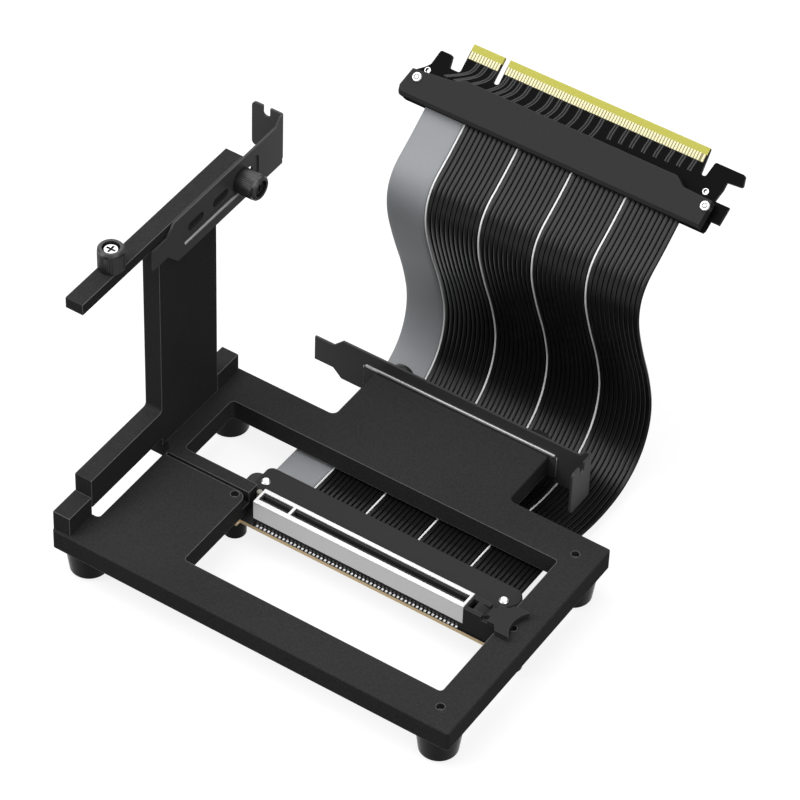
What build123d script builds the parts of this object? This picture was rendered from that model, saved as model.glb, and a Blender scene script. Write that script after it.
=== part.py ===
"""Vertical graphics card mount with a riser slot, its ribbon cables and a card-edge plug.

The mount is laid out with X along the slot, Y towards the back and Z up. The working
coordinates start at the front left corner of the base casting, on its underside, and
every piece is moved at the end so that the origin is on the floor, under the middle.
"""
from build123d import *
import math
import os

# How far a cut runs past a face, a fused form runs into its neighbour, and what counts as equal
past = 1.0
join = 0.1
near = 0.01

# Base casting
base_thickness = 8.6
left_rail = 14.6
right_rail = 12.6
front_rail = 15.0
back_rail = 15.4
window_depth = 75.1
base_edge = 0.4
base_corner = 1.2
window_corner = 1.5
plate_reach = 46.7
plate_corner = 3.5
crossbar_front = 54.9
crossbar_width = 5.2
groove_width = 1.3
groove_depth = 5.0
notch_width = 10.0
notch_under_post = 2.3
notch_front_corner = 1.5
notch_back_corner = 4.0
end_block_width = 7.2
front_block_depth = 14.2
front_block_height = 8.3
back_block_depth = 14.3
back_block_height = 7.9

# Tab at the back that carries the lower slot cover
tab_left = 49.2
tab_length = 26.5
tab_left_margin = 6.8
tab_right_margin = 8.6
tab_root = 2.5
tab_corner = 1.0

# Upright casting
upright_width = end_block_width
upright_gap = 0.3
upright_edge = 0.35
post_depth = 34.0
post_corner = 1.6
rail_lift = 3.3
rail_height = 13.0
opening_height = 81.4
bar_thickness = 4.6
bar_front_overhang = 1.0
bar_back_overhang = 1.8
lug_drop = 11.3
lug_screw_inset = 2.8
lug_screw_rise = 1.65
bar_screw_setback = 20.3

# Screws and their holes
m3 = 3.0
m3_clearance = 0.05
m3_head = 5.5
m3_head_height = 2.0
m3_hex = 2.5
m3_socket = 1.2
thread_depth = 6.5
screw_reach = 6.0
hole_spare = 0.5
head_spare = 0.25
post_screw_margin = 8.0
post_counterbore = 3.0

# Feet
foot_height = 13.0
foot_top = 17.2
foot_bottom = 13.0
foot_bevel = 1.4
foot_inset = 9.2
foot_counterbore = 7.4
foot_seat = 4.5

# Riser board and the spacers under it
board_thickness = 1.6
board_front_gap = 5.1
board_depth = 23.5
board_left_lap = 9.7
board_right_inset = 4.0
board_ear = 2.2
board_ear_width = 9.8
board_corner = 3.5
spacer_diameter = 8.6
spacer_height = 8.5
spacer_seat = 4.0
spacer_counterbore = 6.2
spacer_left_inset = 3.9
spacer_left_offset = 2.5
spacer_right_inset = 8.4
spacer_right_offset = 0.4

# Slot
slot_line = 54.1
slot_setback = 5.1
slot_length = 89.0
slot_width = 7.8
slot_height = 11.25
shield_wall = 0.4
shield_lift = 2.8
shield_fit = 0.05
mouth_width = 4.0
mouth_end = 0.9
mouth_short = 12.6
mouth_divider = 1.05
cavity_width = 1.9
cavity_floor = 3.0
lead_pitch = 1.63
lead_width = 0.8
lead_reach = 0.95
lead_thickness = 0.3
lead_height = 1.9
lead_margin = 1.5
peg_diameter = 2.2
peg_height = 6.4
peg_before_slot = 3.8
peg_offset = 5.5

# Latch block and latch
latch_block = 13.6
latch_wall = 1.7
latch_tall_part = 7.2
latch_tall_height = 10.5
latch_low_height = 8.8
latch_end_wall = 0.6
latch_floor = 2.5
latch_end_gap = 0.5
latch_side_gap = 0.15
pivot_from_slot = 7.7
pivot_height = 6.0
pivot_diameter = 2.0
pivot_fit = 0.05
pivot_spare = 0.3
pivot_end_gap = 0.1
latch_hub = 2.2
nose_reach = 4.7
nose_height = 4.4
nose_width = 1.5
nose_foot = 0.5
paddle_thickness = 1.9
paddle_lift = 0.7
paddle_start = 2.6
paddle_lap = 1.0
paddle_arm_start = 1.1
paddle_flare_start = 5.6
paddle_flare_end = 7.2
paddle_end = 13.0
paddle_root_half = 4.5
paddle_tip_half = 6.9
paddle_hollow = 2.6

# Riser covers
cover_gap = 6.9
cover_depth = 12.6
cover_top_height = 5.0
cover_left_lap = 3.7
cover_end_gap = 1.7
cover_corner = 2.5
cover_edge = 0.5
cover_ear = 2.7
cover_ear_start = 2.2
cover_ear_low = 6.5
cover_ear_high = 9.0
cover_bottom_height = 3.9
cover_screw_inset = 3.5
cover_screw_line = 4.7
cover_screw_head = 3.5
cover_screw_head_height = 1.0
cover_screw_bevel = 0.6
cover_screw = 2.0
cover_screw_end = 1.5
cover_screw_fit = 0.05
cable_gap = 0.1

# Ribbon cables: one shielded band and four bundles side by side
cable_thickness = 1.2
cable_left = 42.0
band_width = 16.55
bundle_width = 22.45
bundle_count = 4
cable_spacing = 0.3
cable_start = 68.5
cable_route = [(82.0, -2.3), (97.9, -2.7), (113.6, -6.5), (131.4, -9.8), (148.4, -8.3),
               (160.7, 1.2), (164.7, 17.8), (160.4, 37.0), (152.8, 56.8), (146.8, 77.0),
               (149.2, 90.8)]
cable_last_run = 15.0
cable_arc_share = 0.45

# Plug at the cable's end, in a plane that leans back
plug_exit = (170.2, 104.7)
plug_lean = 38.0
plug_board_thickness = 1.6
plug_board_start = 6.0
plug_finger_top = 29.5
plug_hook_points = [(31.0, plug_board_start), (30.4, 8.7), (30.6, 11.4), (34.9, 14.8),
                    (36.5, 16.6), (37.6, 22.6), (42.6, 22.6), (43.6, 17.9), (48.1, 17.9)]
plug_short_block = (48.2, 61.2)
plug_long_block = (63.6, 146.3)
plug_right = plug_long_block[1]
plug_key_bottom = 19.3
plug_ear_points = [(plug_right + 0.9, 19.7), (plug_right + 2.9, 19.7), (plug_right + 4.0, 25.7),
                   (plug_right + 16.0, 25.7), (plug_right + 17.2, 21.3),
                   (plug_right + 11.0, 20.8), (plug_right + 11.0, 18.0),
                   (plug_right + 10.0, 13.1), (plug_right + 16.0, 13.1),
                   (plug_right + 15.5, plug_board_start)]
plug_corner = 0.9
plug_cover_front_height = 4.7
plug_cover_back_height = 4.2
plug_cover_bevel = 1.2
plug_cover_front_edge = 1.6
plug_cover_points = [(32.0, plug_cover_front_edge), (plug_right + 10.2, plug_cover_front_edge),
                     (plug_right + 10.9, 12.1), (plug_right - 1.3, 12.6),
                     (plug_right - 5.0, 15.4), (54.0, 15.5), (49.4, 13.6), (33.0, 12.0),
                     (31.2, 4.8)]
plug_rivet = 3.4
plug_rivet_shank = 2.2
plug_rivet_head = 0.7
plug_rivet_line = 9.6
plug_rivets_at = (36.2, plug_right + 9.5)
plug_holes_at = ((36.4, 14.0), (plug_right + 5.5, 14.9))
plug_hole = 1.6

# Slot covers, both pressed from the same sheet
sheet = 0.9
press_depth = 0.5
strip_width = 19.05
slot_hole_length = 9.4
slot_hole_width = 3.9
slot_hole_gap = 0.2
tongue_length = 8.3
flange_length = 12.2
flange_rise = 3.0
flange_low = 2.2
flange_corner = 1.8
flange_step = 4.8
fork_width = 3.2
fork_depth = 4.3
fork_from_face = 4.3
fork_corner = 1.3
bend_radius = 1.3
field_corner = 2.0
upper_strip = 79.2
upper_holes = (25.7, 40.6, 55.5)
upper_field = (17.2, 63.2)
upper_field_half = 5.2
upper_tongue = (6.2, 4.2)
upper_hole_lift = 0.5
lower_strip = 120.0
lower_hole_first = 34.0
lower_hole_pitch = 15.0
lower_hole_count = 5
lower_field = (22.0, 106.0)
lower_field_half = 5.6
lower_tongue = (3.7, 4.05)
lower_hole_lift = -2.0

# Thumb screws
cap_diameter = 9.5
cap_length = 9.0
cap_bevel = 0.6
cap_recess = 2.4
cap_recess_diameter = 6.4
thumb_shank = 3.4
thumb_fit = 0.05
thumb_head = 5.6
thumb_head_height = 1.5
thumb_head_bevel = 0.4
thumb_cross_width = 0.9
thumb_cross_length = 3.6
thumb_cross_depth = 0.9

# Sizes that follow from the ones above
slot_left = plate_reach + slot_setback
slot_right = slot_left + slot_length
latch_right = slot_right + latch_block
window_right = latch_right + latch_end_gap
base_length = window_right + right_rail
base_depth = front_rail + window_depth + back_rail
window_back = front_rail + window_depth
crossbar_back = crossbar_front + crossbar_width
groove_front = crossbar_front - groove_width
post_back = base_depth - back_block_depth - upright_gap
post_front = post_back - post_depth
upright_front = front_block_depth + upright_gap
rail_bottom = base_thickness + rail_lift
rail_top = rail_bottom + rail_height
bar_bottom = rail_top + opening_height
bar_top = bar_bottom + bar_thickness
bar_front = front_block_depth - bar_front_overhang
bar_back = base_depth + bar_back_overhang
m3_hole = m3 + 2 * m3_clearance
thumb_hole = thumb_shank + 2 * thumb_fit
board_front = slot_line - board_front_gap
board_back = board_front + board_depth
board_left = plate_reach - board_left_lap
board_right = base_length - board_right_inset
spacers_at = ((plate_reach - spacer_left_inset, slot_line - spacer_left_offset),
              (base_length - spacer_right_inset, slot_line - spacer_right_offset))
pivot_x = slot_right + pivot_from_slot
cover_front = slot_line + cover_gap
cover_back = cover_front + cover_depth
cover_left = plate_reach - cover_left_lap
cover_right = window_right - cover_end_gap
cover_screws_at = ((cover_left + cover_screw_inset, cover_front + cover_screw_line),
                   (cover_right - cover_screw_inset - cover_end_gap, cover_front + cover_screw_line))
tab_back = base_depth + tab_length
lower_screws_at = (tab_left + tab_left_margin,
                   tab_left + tab_left_margin + (lower_hole_count - 1) * lower_hole_pitch)
tab_right = lower_screws_at[1] + tab_right_margin
lower_screw_height = base_thickness / 2
lower_tip = lower_screws_at[0] - lower_hole_first
upper_screw_y = bar_back - lug_screw_inset
upper_screw_height = bar_bottom - lug_drop / 2 + lug_screw_rise
upper_tip = (upper_screw_y - thumb_shank / 2 - slot_hole_gap
             + slot_hole_length / 2 - upper_holes[-1])
bar_screw_at = (upright_width / 2, upright_front + bar_screw_setback - upright_gap)
feet_at = {"front_left": (foot_inset, foot_inset),
           "front_right": (base_length - foot_inset, foot_inset),
           "back_left": (foot_inset, base_depth - foot_inset),
           "back_right": (base_length - foot_inset, base_depth - foot_inset)}
bundle_start = cable_left + band_width
cable_middle = cable_route[0][1]
floor_shift = Pos(-(base_length + upright_width - flange_length) / 2,
                  -(tab_back + sheet + cap_length) / 2, foot_height)


def block(x0, x1, y0, y1, z0, z1):
    """A box given by its six sides."""
    centre = ((x0 + x1) / 2, (y0 + y1) / 2, (z0 + z1) / 2)
    return Pos(*centre) * Box(x1 - x0, y1 - y0, z1 - z0)


def rod(x, y, z0, z1, diameter):
    """An upright cylinder between two heights."""
    return Pos(x, y, (z0 + z1) / 2) * Cylinder(diameter / 2, z1 - z0)


def rod_along_x(x0, x1, y, z, diameter):
    return Pos((x0 + x1) / 2, y, z) * Rot(0, 90, 0) * Cylinder(diameter / 2, x1 - x0)


def rod_along_y(x, y0, y1, z, diameter):
    return Pos(x, (y0 + y1) / 2, z) * Rot(90, 0, 0) * Cylinder(diameter / 2, y1 - y0)


def corner_at(shape, x, y):
    """The upright edge of a shape nearest to a place in the plan."""
    def distance(edge):
        middle = edge.center()
        return math.hypot(middle.X - x, middle.Y - y)
    return min(shape.edges().filter_by(Axis.Z), key=distance)


def tapped_hole(x, y, through):
    """A tapped hole from below, blind or right through the casting."""
    top = base_thickness + past if through else thread_depth
    return rod(x, y, -past, top, m3_hole)


def base_window():
    """The large opening, with the step round the plate beside the slot."""
    outline = Polyline((left_rail, crossbar_back), (plate_reach, crossbar_back),
                       (plate_reach, front_rail), (window_right, front_rail),
                       (window_right, window_back), (left_rail, window_back), close=True)
    window = Pos(0, 0, -past) * extrude(make_face(outline), base_thickness + 2 * past)
    places = [(left_rail, crossbar_back), (plate_reach, front_rail), (window_right, front_rail),
              (window_right, window_back), (left_rail, window_back)]
    return fillet([corner_at(window, x, y) for x, y in places], window_corner)


def base_notch():
    """The notch in the left side under the raised rail."""
    back = post_front + notch_under_post
    notch = block(-past, notch_width, front_rail - base_edge, back, -past, base_thickness + past)
    notch = fillet(corner_at(notch, notch_width, front_rail), notch_front_corner)
    return fillet(corner_at(notch, notch_width, back), notch_back_corner)


def base_plate():
    plate = block(0, base_length, 0, base_depth, 0, base_thickness)
    corners = [corner_at(plate, x, y) for x in (0, base_length) for y in (0, base_depth)]
    plate = fillet(corners, base_corner)
    tab = block(tab_left, tab_right, base_depth - base_corner, tab_back, 0, base_thickness)
    ends = [corner_at(tab, tab_left, tab_back), corner_at(tab, tab_right, tab_back)]
    plate += fillet(ends, tab_corner)
    roots = [corner_at(plate, tab_left, base_depth), corner_at(plate, tab_right, base_depth)]
    plate = fillet(roots, tab_root)
    plate -= base_window()
    plate -= base_notch()
    plate -= block(notch_width + past, plate_reach + past, groove_front, crossbar_front,
                   base_thickness - groove_depth, base_thickness + past)
    plate = fillet(corner_at(plate, plate_reach, groove_front), plate_corner)
    top = plate.faces().filter_by(Axis.Z).sort_by(Axis.Z)[-1]
    return chamfer(top.outer_wire().edges(), base_edge)


def base_frame():
    """The base casting: four rails, the plate by the slot, the tab and two end blocks."""
    base = base_plate()
    low = base_thickness - 2 * base_edge
    base += block(0, end_block_width, base_corner, front_block_depth, low,
                  base_thickness + front_block_height)
    base += block(0, end_block_width, base_depth - back_block_depth, base_depth - base_corner,
                  low, base_thickness + back_block_height)
    for name, (x, y) in feet_at.items():
        base -= tapped_hole(x, y, name.endswith("right"))
    for x, y in spacers_at:
        base -= tapped_hole(x, y, True)
    for y in post_screws_at():
        x = upright_width / 2
        base -= rod(x, y, -past, base_thickness + past, m3_hole)
        base -= rod(x, y, -past, post_counterbore, m3_head + 2 * head_spare)
    for x in lower_screws_at:
        base -= rod_along_y(x, tab_back - screw_reach - hole_spare, tab_back + past,
                            lower_screw_height, thumb_hole)
    return base


def post_screws_at():
    return (post_front + post_screw_margin, post_back - post_screw_margin)


def upright():
    """The upright casting: low rail, post and top bar with the lug for the short cover."""
    outline = Polyline((upright_front, rail_bottom), (post_front, rail_bottom),
                       (post_front, base_thickness), (post_back, base_thickness),
                       (post_back, bar_bottom - lug_drop), (bar_back, bar_bottom - lug_drop),
                       (bar_back, bar_top), (bar_front, bar_top), (bar_front, bar_bottom),
                       (post_front, bar_bottom), (post_front, rail_top),
                       (upright_front, rail_top), close=True)
    shape = extrude(Plane.YZ * make_face(outline), upright_width)
    inner = [edge for edge in shape.edges().filter_by(Axis.X)
             if abs(edge.center().Y - post_front) < near and edge.center().Z > rail_bottom + near]
    shape = fillet(inner, post_corner)
    outer = [edge for edge in shape.edges().filter_by(Axis.X)
             if edge.center().Z > bar_top - near or abs(edge.center().Y - upright_front) < near]
    shape = fillet(outer, upright_edge)
    for y in post_screws_at():
        shape -= rod(upright_width / 2, y, 0, base_thickness + screw_reach + hole_spare, m3_hole)
    shape -= rod(bar_screw_at[0], bar_screw_at[1], bar_bottom - past, bar_top + past, thumb_hole)
    shape -= rod_along_x(upright_width - screw_reach - hole_spare, upright_width + past,
                         upper_screw_y, upper_screw_height, thumb_hole)
    return shape


def machine_screw(reach):
    """A socket screw that points up: its head hangs below the seat plane at zero."""
    screw = rod(0, 0, -m3_head_height, 0, m3_head) + rod(0, 0, -join, reach, m3)
    socket = extrude(RegularPolygon(m3_hex / 2, 6, major_radius=False), m3_socket)
    return screw - Pos(0, 0, -m3_head_height) * socket


def upright_screws():
    """Two screws from below through the left rail into the post."""
    reach = base_thickness - post_counterbore + screw_reach
    return [Pos(upright_width / 2, y, post_counterbore) * machine_screw(reach)
            for y in post_screws_at()]


def foot(name):
    """A tapered rubber foot with a bevelled lower edge and a counterbore for its screw."""
    x, y = feet_at[name]
    profile = Polyline((m3_hole / 2, 0), (foot_top / 2, 0),
                       (foot_bottom / 2 + foot_bevel / 2, foot_bevel - foot_height),
                       (foot_bottom / 2 - foot_bevel / 2, -foot_height),
                       (foot_counterbore / 2, -foot_height), (foot_counterbore / 2, -foot_seat),
                       (m3_hole / 2, -foot_seat), close=True)
    return Pos(x, y, 0) * revolve(Plane.XZ * make_face(profile), Axis.Z)


def foot_screws():
    return [Pos(x, y, -foot_seat) * machine_screw(foot_seat + screw_reach)
            for x, y in feet_at.values()]


def riser_board():
    """The riser's circuit board under the base, with an ear at each spacer."""
    board = block(board_left, board_right, board_front, board_back, -board_thickness, 0)
    for left in (board_left, board_right - board_ear_width):
        board += block(left, left + board_ear_width, board_front - board_ear,
                       board_front + board_ear, -board_thickness, 0)
    board = fillet(corner_at(board, board_left, board_back), board_corner)
    for x, y in spacers_at + cover_screws_at:
        board -= rod(x, y, -board_thickness - past, past, m3_hole)
    return board


def riser_spacers():
    spacers = []
    for x, y in spacers_at:
        bottom = -board_thickness - spacer_height
        spacer = rod(x, y, bottom, -board_thickness, spacer_diameter)
        spacer -= rod(x, y, bottom - past, 0, m3_hole)
        spacer -= rod(x, y, bottom - past, -board_thickness - spacer_seat, spacer_counterbore)
        spacers.append(spacer)
    return spacers


def riser_screws():
    seat = board_thickness + spacer_seat
    return [Pos(x, y, -seat) * machine_screw(seat + screw_reach) for x, y in spacers_at]


def mouth_spans():
    """Where the short and the long mouth of the slot start and end."""
    short_left = slot_left + mouth_end
    long_left = short_left + mouth_short + mouth_divider
    return ((short_left, short_left + mouth_short), (long_left, slot_right - mouth_end))


def slot_shield():
    """The thin steel shell round the slot, open below, with two mouths in its top."""
    half = slot_width / 2
    shell = block(slot_left, slot_right, slot_line - half, slot_line + half,
                  shield_lift, slot_height)
    shell = fillet(shell.edges().filter_by(Axis.X).sort_by(Axis.Z)[-2:], shield_wall * 0.9)
    shell -= block(slot_left + shield_wall, slot_right - shield_wall,
                   slot_line - half + shield_wall, slot_line + half - shield_wall,
                   shield_lift - past, slot_height - shield_wall)
    for left, right in mouth_spans():
        shell -= block(left, right, slot_line - mouth_width / 2, slot_line + mouth_width / 2,
                       shield_lift, slot_height + past)
    return shell


def slot_housing():
    """The moulded slot body with its card cavity, and the block that holds the latch."""
    half = slot_width / 2
    inner = half - shield_wall - shield_fit
    body = block(slot_left, latch_right, slot_line - half, slot_line + half,
                 0, shield_lift - shield_fit)
    body += block(slot_left + shield_wall + shield_fit, slot_right - shield_wall - shield_fit,
                  slot_line - inner, slot_line + inner, 0,
                  slot_height - shield_wall - shield_fit)
    tall_right = slot_right + latch_tall_part
    body += block(slot_right + shield_fit, tall_right, slot_line - half, slot_line + half,
                  0, latch_tall_height)
    body += block(slot_right + shield_fit, latch_right, slot_line - half, slot_line + half,
                  0, latch_low_height)
    channel = half - latch_wall
    body -= block(slot_right + latch_end_wall, latch_right + past, slot_line - channel,
                  slot_line + channel, latch_floor, slot_height)
    spare = pivot_spare + pivot_fit
    body -= rod_along_y(pivot_x, slot_line - half + spare, slot_line + half - spare,
                        pivot_height, pivot_diameter + 2 * pivot_fit)
    for left, right in mouth_spans():
        body -= block(left + shield_wall, right - shield_wall, slot_line - cavity_width / 2,
                      slot_line + cavity_width / 2, cavity_floor, slot_height + past)
    return body


def slot_contacts():
    """Two rows of bent leads that run down the slot's sides and out along the board."""
    half = slot_width / 2
    profile = Polyline((half, 0), (half + lead_reach, 0), (half + lead_reach, lead_thickness),
                       (half + lead_thickness, lead_thickness),
                       (half + lead_thickness, lead_height), (half, lead_height), close=True)
    lead = extrude(Plane.YZ * make_face(profile), lead_width / 2, both=True)
    count = int((slot_length - 2 * lead_margin) / lead_pitch) + 1
    first = slot_left + (slot_length - (count - 1) * lead_pitch) / 2
    leads = []
    for number in range(count):
        place = Pos(first + number * lead_pitch, slot_line, 0)
        leads.append(place * lead)
        leads.append(place * Rot(0, 0, 180) * lead)
    return leads


def slot_latch():
    """The latch: hub with two trunnions, a nose towards the card and a forked paddle."""
    channel = slot_width / 2 - latch_wall - latch_side_gap
    paddle_low = base_thickness + paddle_lift - pivot_height
    paddle_high = paddle_low + paddle_thickness
    arm = Polyline((-nose_reach, nose_height), (-nose_reach, nose_height - nose_width),
                   (-latch_hub, 0), (0, -latch_hub), (latch_hub, 0),
                   (paddle_start + paddle_lap, paddle_low),
                   (paddle_start + paddle_lap, paddle_high),
                   (paddle_arm_start, paddle_high), (-nose_foot, nose_height - nose_width),
                   (-nose_reach + nose_width, nose_height), close=True)
    shape = extrude(Plane.XZ * make_face(arm), channel, both=True)
    shape += Rot(90, 0, 0) * Cylinder(latch_hub, 2 * channel)
    trunnion = slot_width / 2 - pivot_spare - pivot_fit - pivot_end_gap
    shape += Rot(90, 0, 0) * Cylinder(pivot_diameter / 2, 2 * trunnion)
    side = [(paddle_start, paddle_root_half), (paddle_flare_start, paddle_root_half),
            (paddle_flare_end, paddle_tip_half), (paddle_end, paddle_tip_half)]
    upper = Polyline(*side)
    lower = Polyline(*[(x, -y) for x, y in side])
    tail = ThreePointArc((paddle_end, paddle_tip_half), (paddle_end - paddle_hollow, 0),
                         (paddle_end, -paddle_tip_half))
    root = Line((paddle_start, -paddle_root_half), (paddle_start, paddle_root_half))
    paddle = extrude(make_face([upper, tail, lower, root]), paddle_thickness)
    shape += Pos(0, 0, paddle_low) * paddle
    return Pos(pivot_x, slot_line, pivot_height) * shape


def locator_peg():
    """The small moulded peg that stands on the board before the slot."""
    peg = rod(slot_left - peg_before_slot, slot_line + peg_offset, 0, peg_height, peg_diameter)
    return chamfer(peg.edges().sort_by(Axis.Z)[-1], peg_diameter / 8)


def cover_outline():
    """The riser covers' outline, with the scalloped ear at the right end."""
    ear = cover_right - cover_ear
    outline = Polyline((cover_left, cover_front), (ear, cover_front),
                       (ear, cover_front + cover_ear_start),
                       (cover_right, cover_front + cover_ear_low),
                       (cover_right, cover_front + cover_ear_high), (ear, cover_back),
                       (cover_left, cover_back), close=True)
    return make_face(outline)


def riser_cover_top():
    cover = extrude(cover_outline(), cover_top_height)
    cover = fillet(corner_at(cover, cover_left, cover_back), cover_corner)
    top = cover.faces().sort_by(Axis.Z)[-1]
    cover = chamfer(top.edges(), cover_edge)
    for x, y in cover_screws_at:
        cover -= rod(x, y, -past, cover_top_height + past, cover_screw + 2 * cover_screw_fit)
    return cover


def riser_cover_bottom():
    """The lower cover, with the channel in which the cables reach the board."""
    bottom = -board_thickness - cover_bottom_height
    cover = Pos(0, 0, bottom) * extrude(cover_outline(), cover_bottom_height)
    cover = fillet(corner_at(cover, cover_left, cover_back), cover_corner)
    cables_right = bundle_start + bundle_count * bundle_width
    cover -= block(cover_left - past, cables_right + cable_spacing, cable_start, cover_back + past,
                   cable_middle - cable_thickness / 2 - cable_gap, 0)
    for x, y in cover_screws_at:
        cover -= rod(x, y, bottom + cover_screw_end - hole_spare, 0,
                     cover_screw + 2 * cover_screw_fit)
    return cover


def riser_cover_screws():
    """Two small pan-head screws through the top cover and the board."""
    reach = cover_top_height + board_thickness + cover_bottom_height - cover_screw_end
    head = rod(0, 0, 0, cover_screw_head_height, cover_screw_head)
    head = chamfer(head.edges().sort_by(Axis.Z)[-1], cover_screw_bevel)
    screw = head + rod(0, 0, -reach, join, cover_screw)
    return [Pos(x, y, cover_top_height) * screw for x, y in cover_screws_at]


def cable_points():
    """The route of every cable, seen from the side, from the board to the plug's board."""
    lean = math.radians(plug_lean)
    along = (math.cos(lean), math.sin(lean))
    end = (plug_exit[0] + plug_board_start * along[0], plug_exit[1] + plug_board_start * along[1])
    before = (end[0] - cable_last_run * along[0], end[1] - cable_last_run * along[1])
    return [(cable_start, cable_middle)] + cable_route + [before, end]


def route_bends(points):
    """For each corner of a route: how far it turns, and the radius of its arc."""
    bends = []
    for before, here, after in zip(points, points[1:], points[2:]):
        heading_in = math.atan2(here[1] - before[1], here[0] - before[0])
        heading_out = math.atan2(after[1] - here[1], after[0] - here[0])
        turn = (heading_out - heading_in + math.pi) % (2 * math.pi) - math.pi
        shorter = min(math.dist(before, here), math.dist(here, after))
        bends.append((turn, cable_arc_share * shorter / math.tan(abs(turn) / 2)))
    return bends


def parallel_path(points, offset):
    """The route moved sideways, with arcs that keep the centres of the route's arcs."""
    bends = route_bends(points)
    moved = []
    for number, here in enumerate(points):
        first = points[max(number - 1, 0)]
        second = points[min(number + 1, len(points) - 1)]
        if number in (0, len(points) - 1):
            heading = math.atan2(second[1] - first[1], second[0] - first[0])
            stretch = offset
        else:
            turn = bends[number - 1][0]
            heading = math.atan2(here[1] - first[1], here[0] - first[0]) + turn / 2
            stretch = offset / math.cos(turn / 2)
        moved.append((here[0] - stretch * math.sin(heading), here[1] + stretch * math.cos(heading)))
    radii = [radius - offset * math.copysign(1, turn) for turn, radius in bends]
    return FilletPolyline(*moved, radius=radii)


def ribbon(left, right):
    """One flat cable between two places along X."""
    points = cable_points()
    upper = parallel_path(points, cable_thickness / 2)
    lower = parallel_path(points, -cable_thickness / 2)
    ends = [Line(upper @ 0, lower @ 0), Line(upper @ 1, lower @ 1)]
    side = make_face(upper.edges() + lower.edges() + [end.edge() for end in ends])
    return Pos(left, 0, 0) * extrude(Plane.YZ * side, right - left)


def shielded_band():
    return ribbon(cable_left, cable_left + band_width - cable_spacing)


def bundle(number):
    left = bundle_start + number * bundle_width
    return ribbon(left, left + bundle_width - cable_spacing)


def plug_plane():
    """The plug's own plane: X across, Y along the cable, Z out of the front."""
    lean = math.radians(plug_lean)
    normal = (0, -math.sin(lean), math.cos(lean))
    return Plane(origin=(0, plug_exit[0], plug_exit[1]), x_dir=(1, 0, 0), z_dir=normal)


def plug_board():
    """The plug's circuit board: card edge with its key notch, hook and latch ear."""
    top = plug_finger_top
    short_left, short_right = plug_short_block
    long_left, long_right = plug_long_block
    key = [(short_right, plug_key_bottom), (long_left, plug_key_bottom)]
    outline = Polyline(*plug_hook_points, (short_left, top), (short_right, top), *key,
                       (long_left, top), (long_right, top), *plug_ear_points, close=True)
    board = extrude(make_face(outline), plug_board_thickness / 2, both=True)
    rounded = plug_hook_points[-4:] + key + plug_ear_points[:5]
    board = fillet([corner_at(board, x, y) for x, y in rounded], plug_corner)
    edge = [line for line in board.edges().filter_by(Axis.X) if line.center().Y > top - near]
    board = chamfer(edge, plug_board_thickness / 4, plug_board_thickness / 4)
    for x in plug_rivets_at:
        board -= rod(x, plug_rivet_line, -past, past, plug_rivet_shank + 2 * cover_screw_fit)
    for x, along in plug_holes_at:
        board -= rod(x, along, -past, past, plug_hole)
    return board


def plug_cover(height):
    """One half of the plug's housing, standing on the board's face."""
    cover = extrude(make_face(Polyline(*plug_cover_points, close=True)), height)
    for x in plug_rivets_at:
        cover -= rod(x, plug_rivet_line, -past, height + past,
                     plug_rivet_shank + 2 * cover_screw_fit)
    tool = plug_cover_bevel * math.sqrt(2)
    cover -= Pos(0, plug_cover_front_edge, height) * Rot(45, 0, 0) * Box(2 * base_length, tool, tool)
    return cover


def plug_cover_front():
    return Pos(0, 0, plug_board_thickness / 2) * plug_cover(plug_cover_front_height)


def plug_cover_back():
    low = -plug_board_thickness / 2 - plug_cover_back_height
    cover = plug_cover(plug_cover_back_height)
    return Pos(0, 0, low) * (Pos(0, 0, plug_cover_back_height) * mirror(cover, Plane.XY))


def plug_rivets():
    """Two rivets through both covers and the board."""
    top = plug_board_thickness / 2 + plug_cover_front_height
    bottom = -plug_board_thickness / 2 - plug_cover_back_height
    rivets = []
    for x in plug_rivets_at:
        rivet = rod(x, plug_rivet_line, bottom, top, plug_rivet_shank)
        rivet += rod(x, plug_rivet_line, top, top + plug_rivet_head, plug_rivet)
        rivet += rod(x, plug_rivet_line, bottom - plug_rivet_head, bottom, plug_rivet)
        rivets.append(rivet)
    return rivets


def slot_cover(length, holes, hole_lift, field, field_half, tongue, up):
    """A pressed slot cover, flat: X from the tongue's tip, Z away from its seat."""
    half = strip_width / 2
    low_step, high_step = tongue
    bend_start = length - bend_radius
    corner = [(0, -half + low_step), (tongue_length, -half + low_step),
              (tongue_length + low_step, -half), (bend_start, -half),
              (bend_start, half + flange_rise),
              (length - flange_step / 2, half + flange_rise), (length - flange_step, half),
              (tongue_length + high_step, half), (tongue_length, half - high_step),
              (0, half - high_step)]
    blade = make_face(Polyline(*[(x, up * y) for x, y in corner], close=True))
    strip = Pos(0, 0, press_depth) * extrude(blade, sheet)
    middle = (field[0] + field[1]) / 2
    pressed = Pos(middle, up * hole_lift) * RectangleRounded(field[1] - field[0], 2 * field_half,
                                                            field_corner)
    strip += extrude(pressed, press_depth + join)
    strip -= Pos(0, 0, sheet) * extrude(pressed, press_depth + past)
    for place in holes:
        hole = Pos(place, up * hole_lift) * SlotOverall(slot_hole_length, slot_hole_width)
        strip -= extrude(hole, 2 * sheet + press_depth)
    return strip + flange_plate(length, up)


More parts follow.
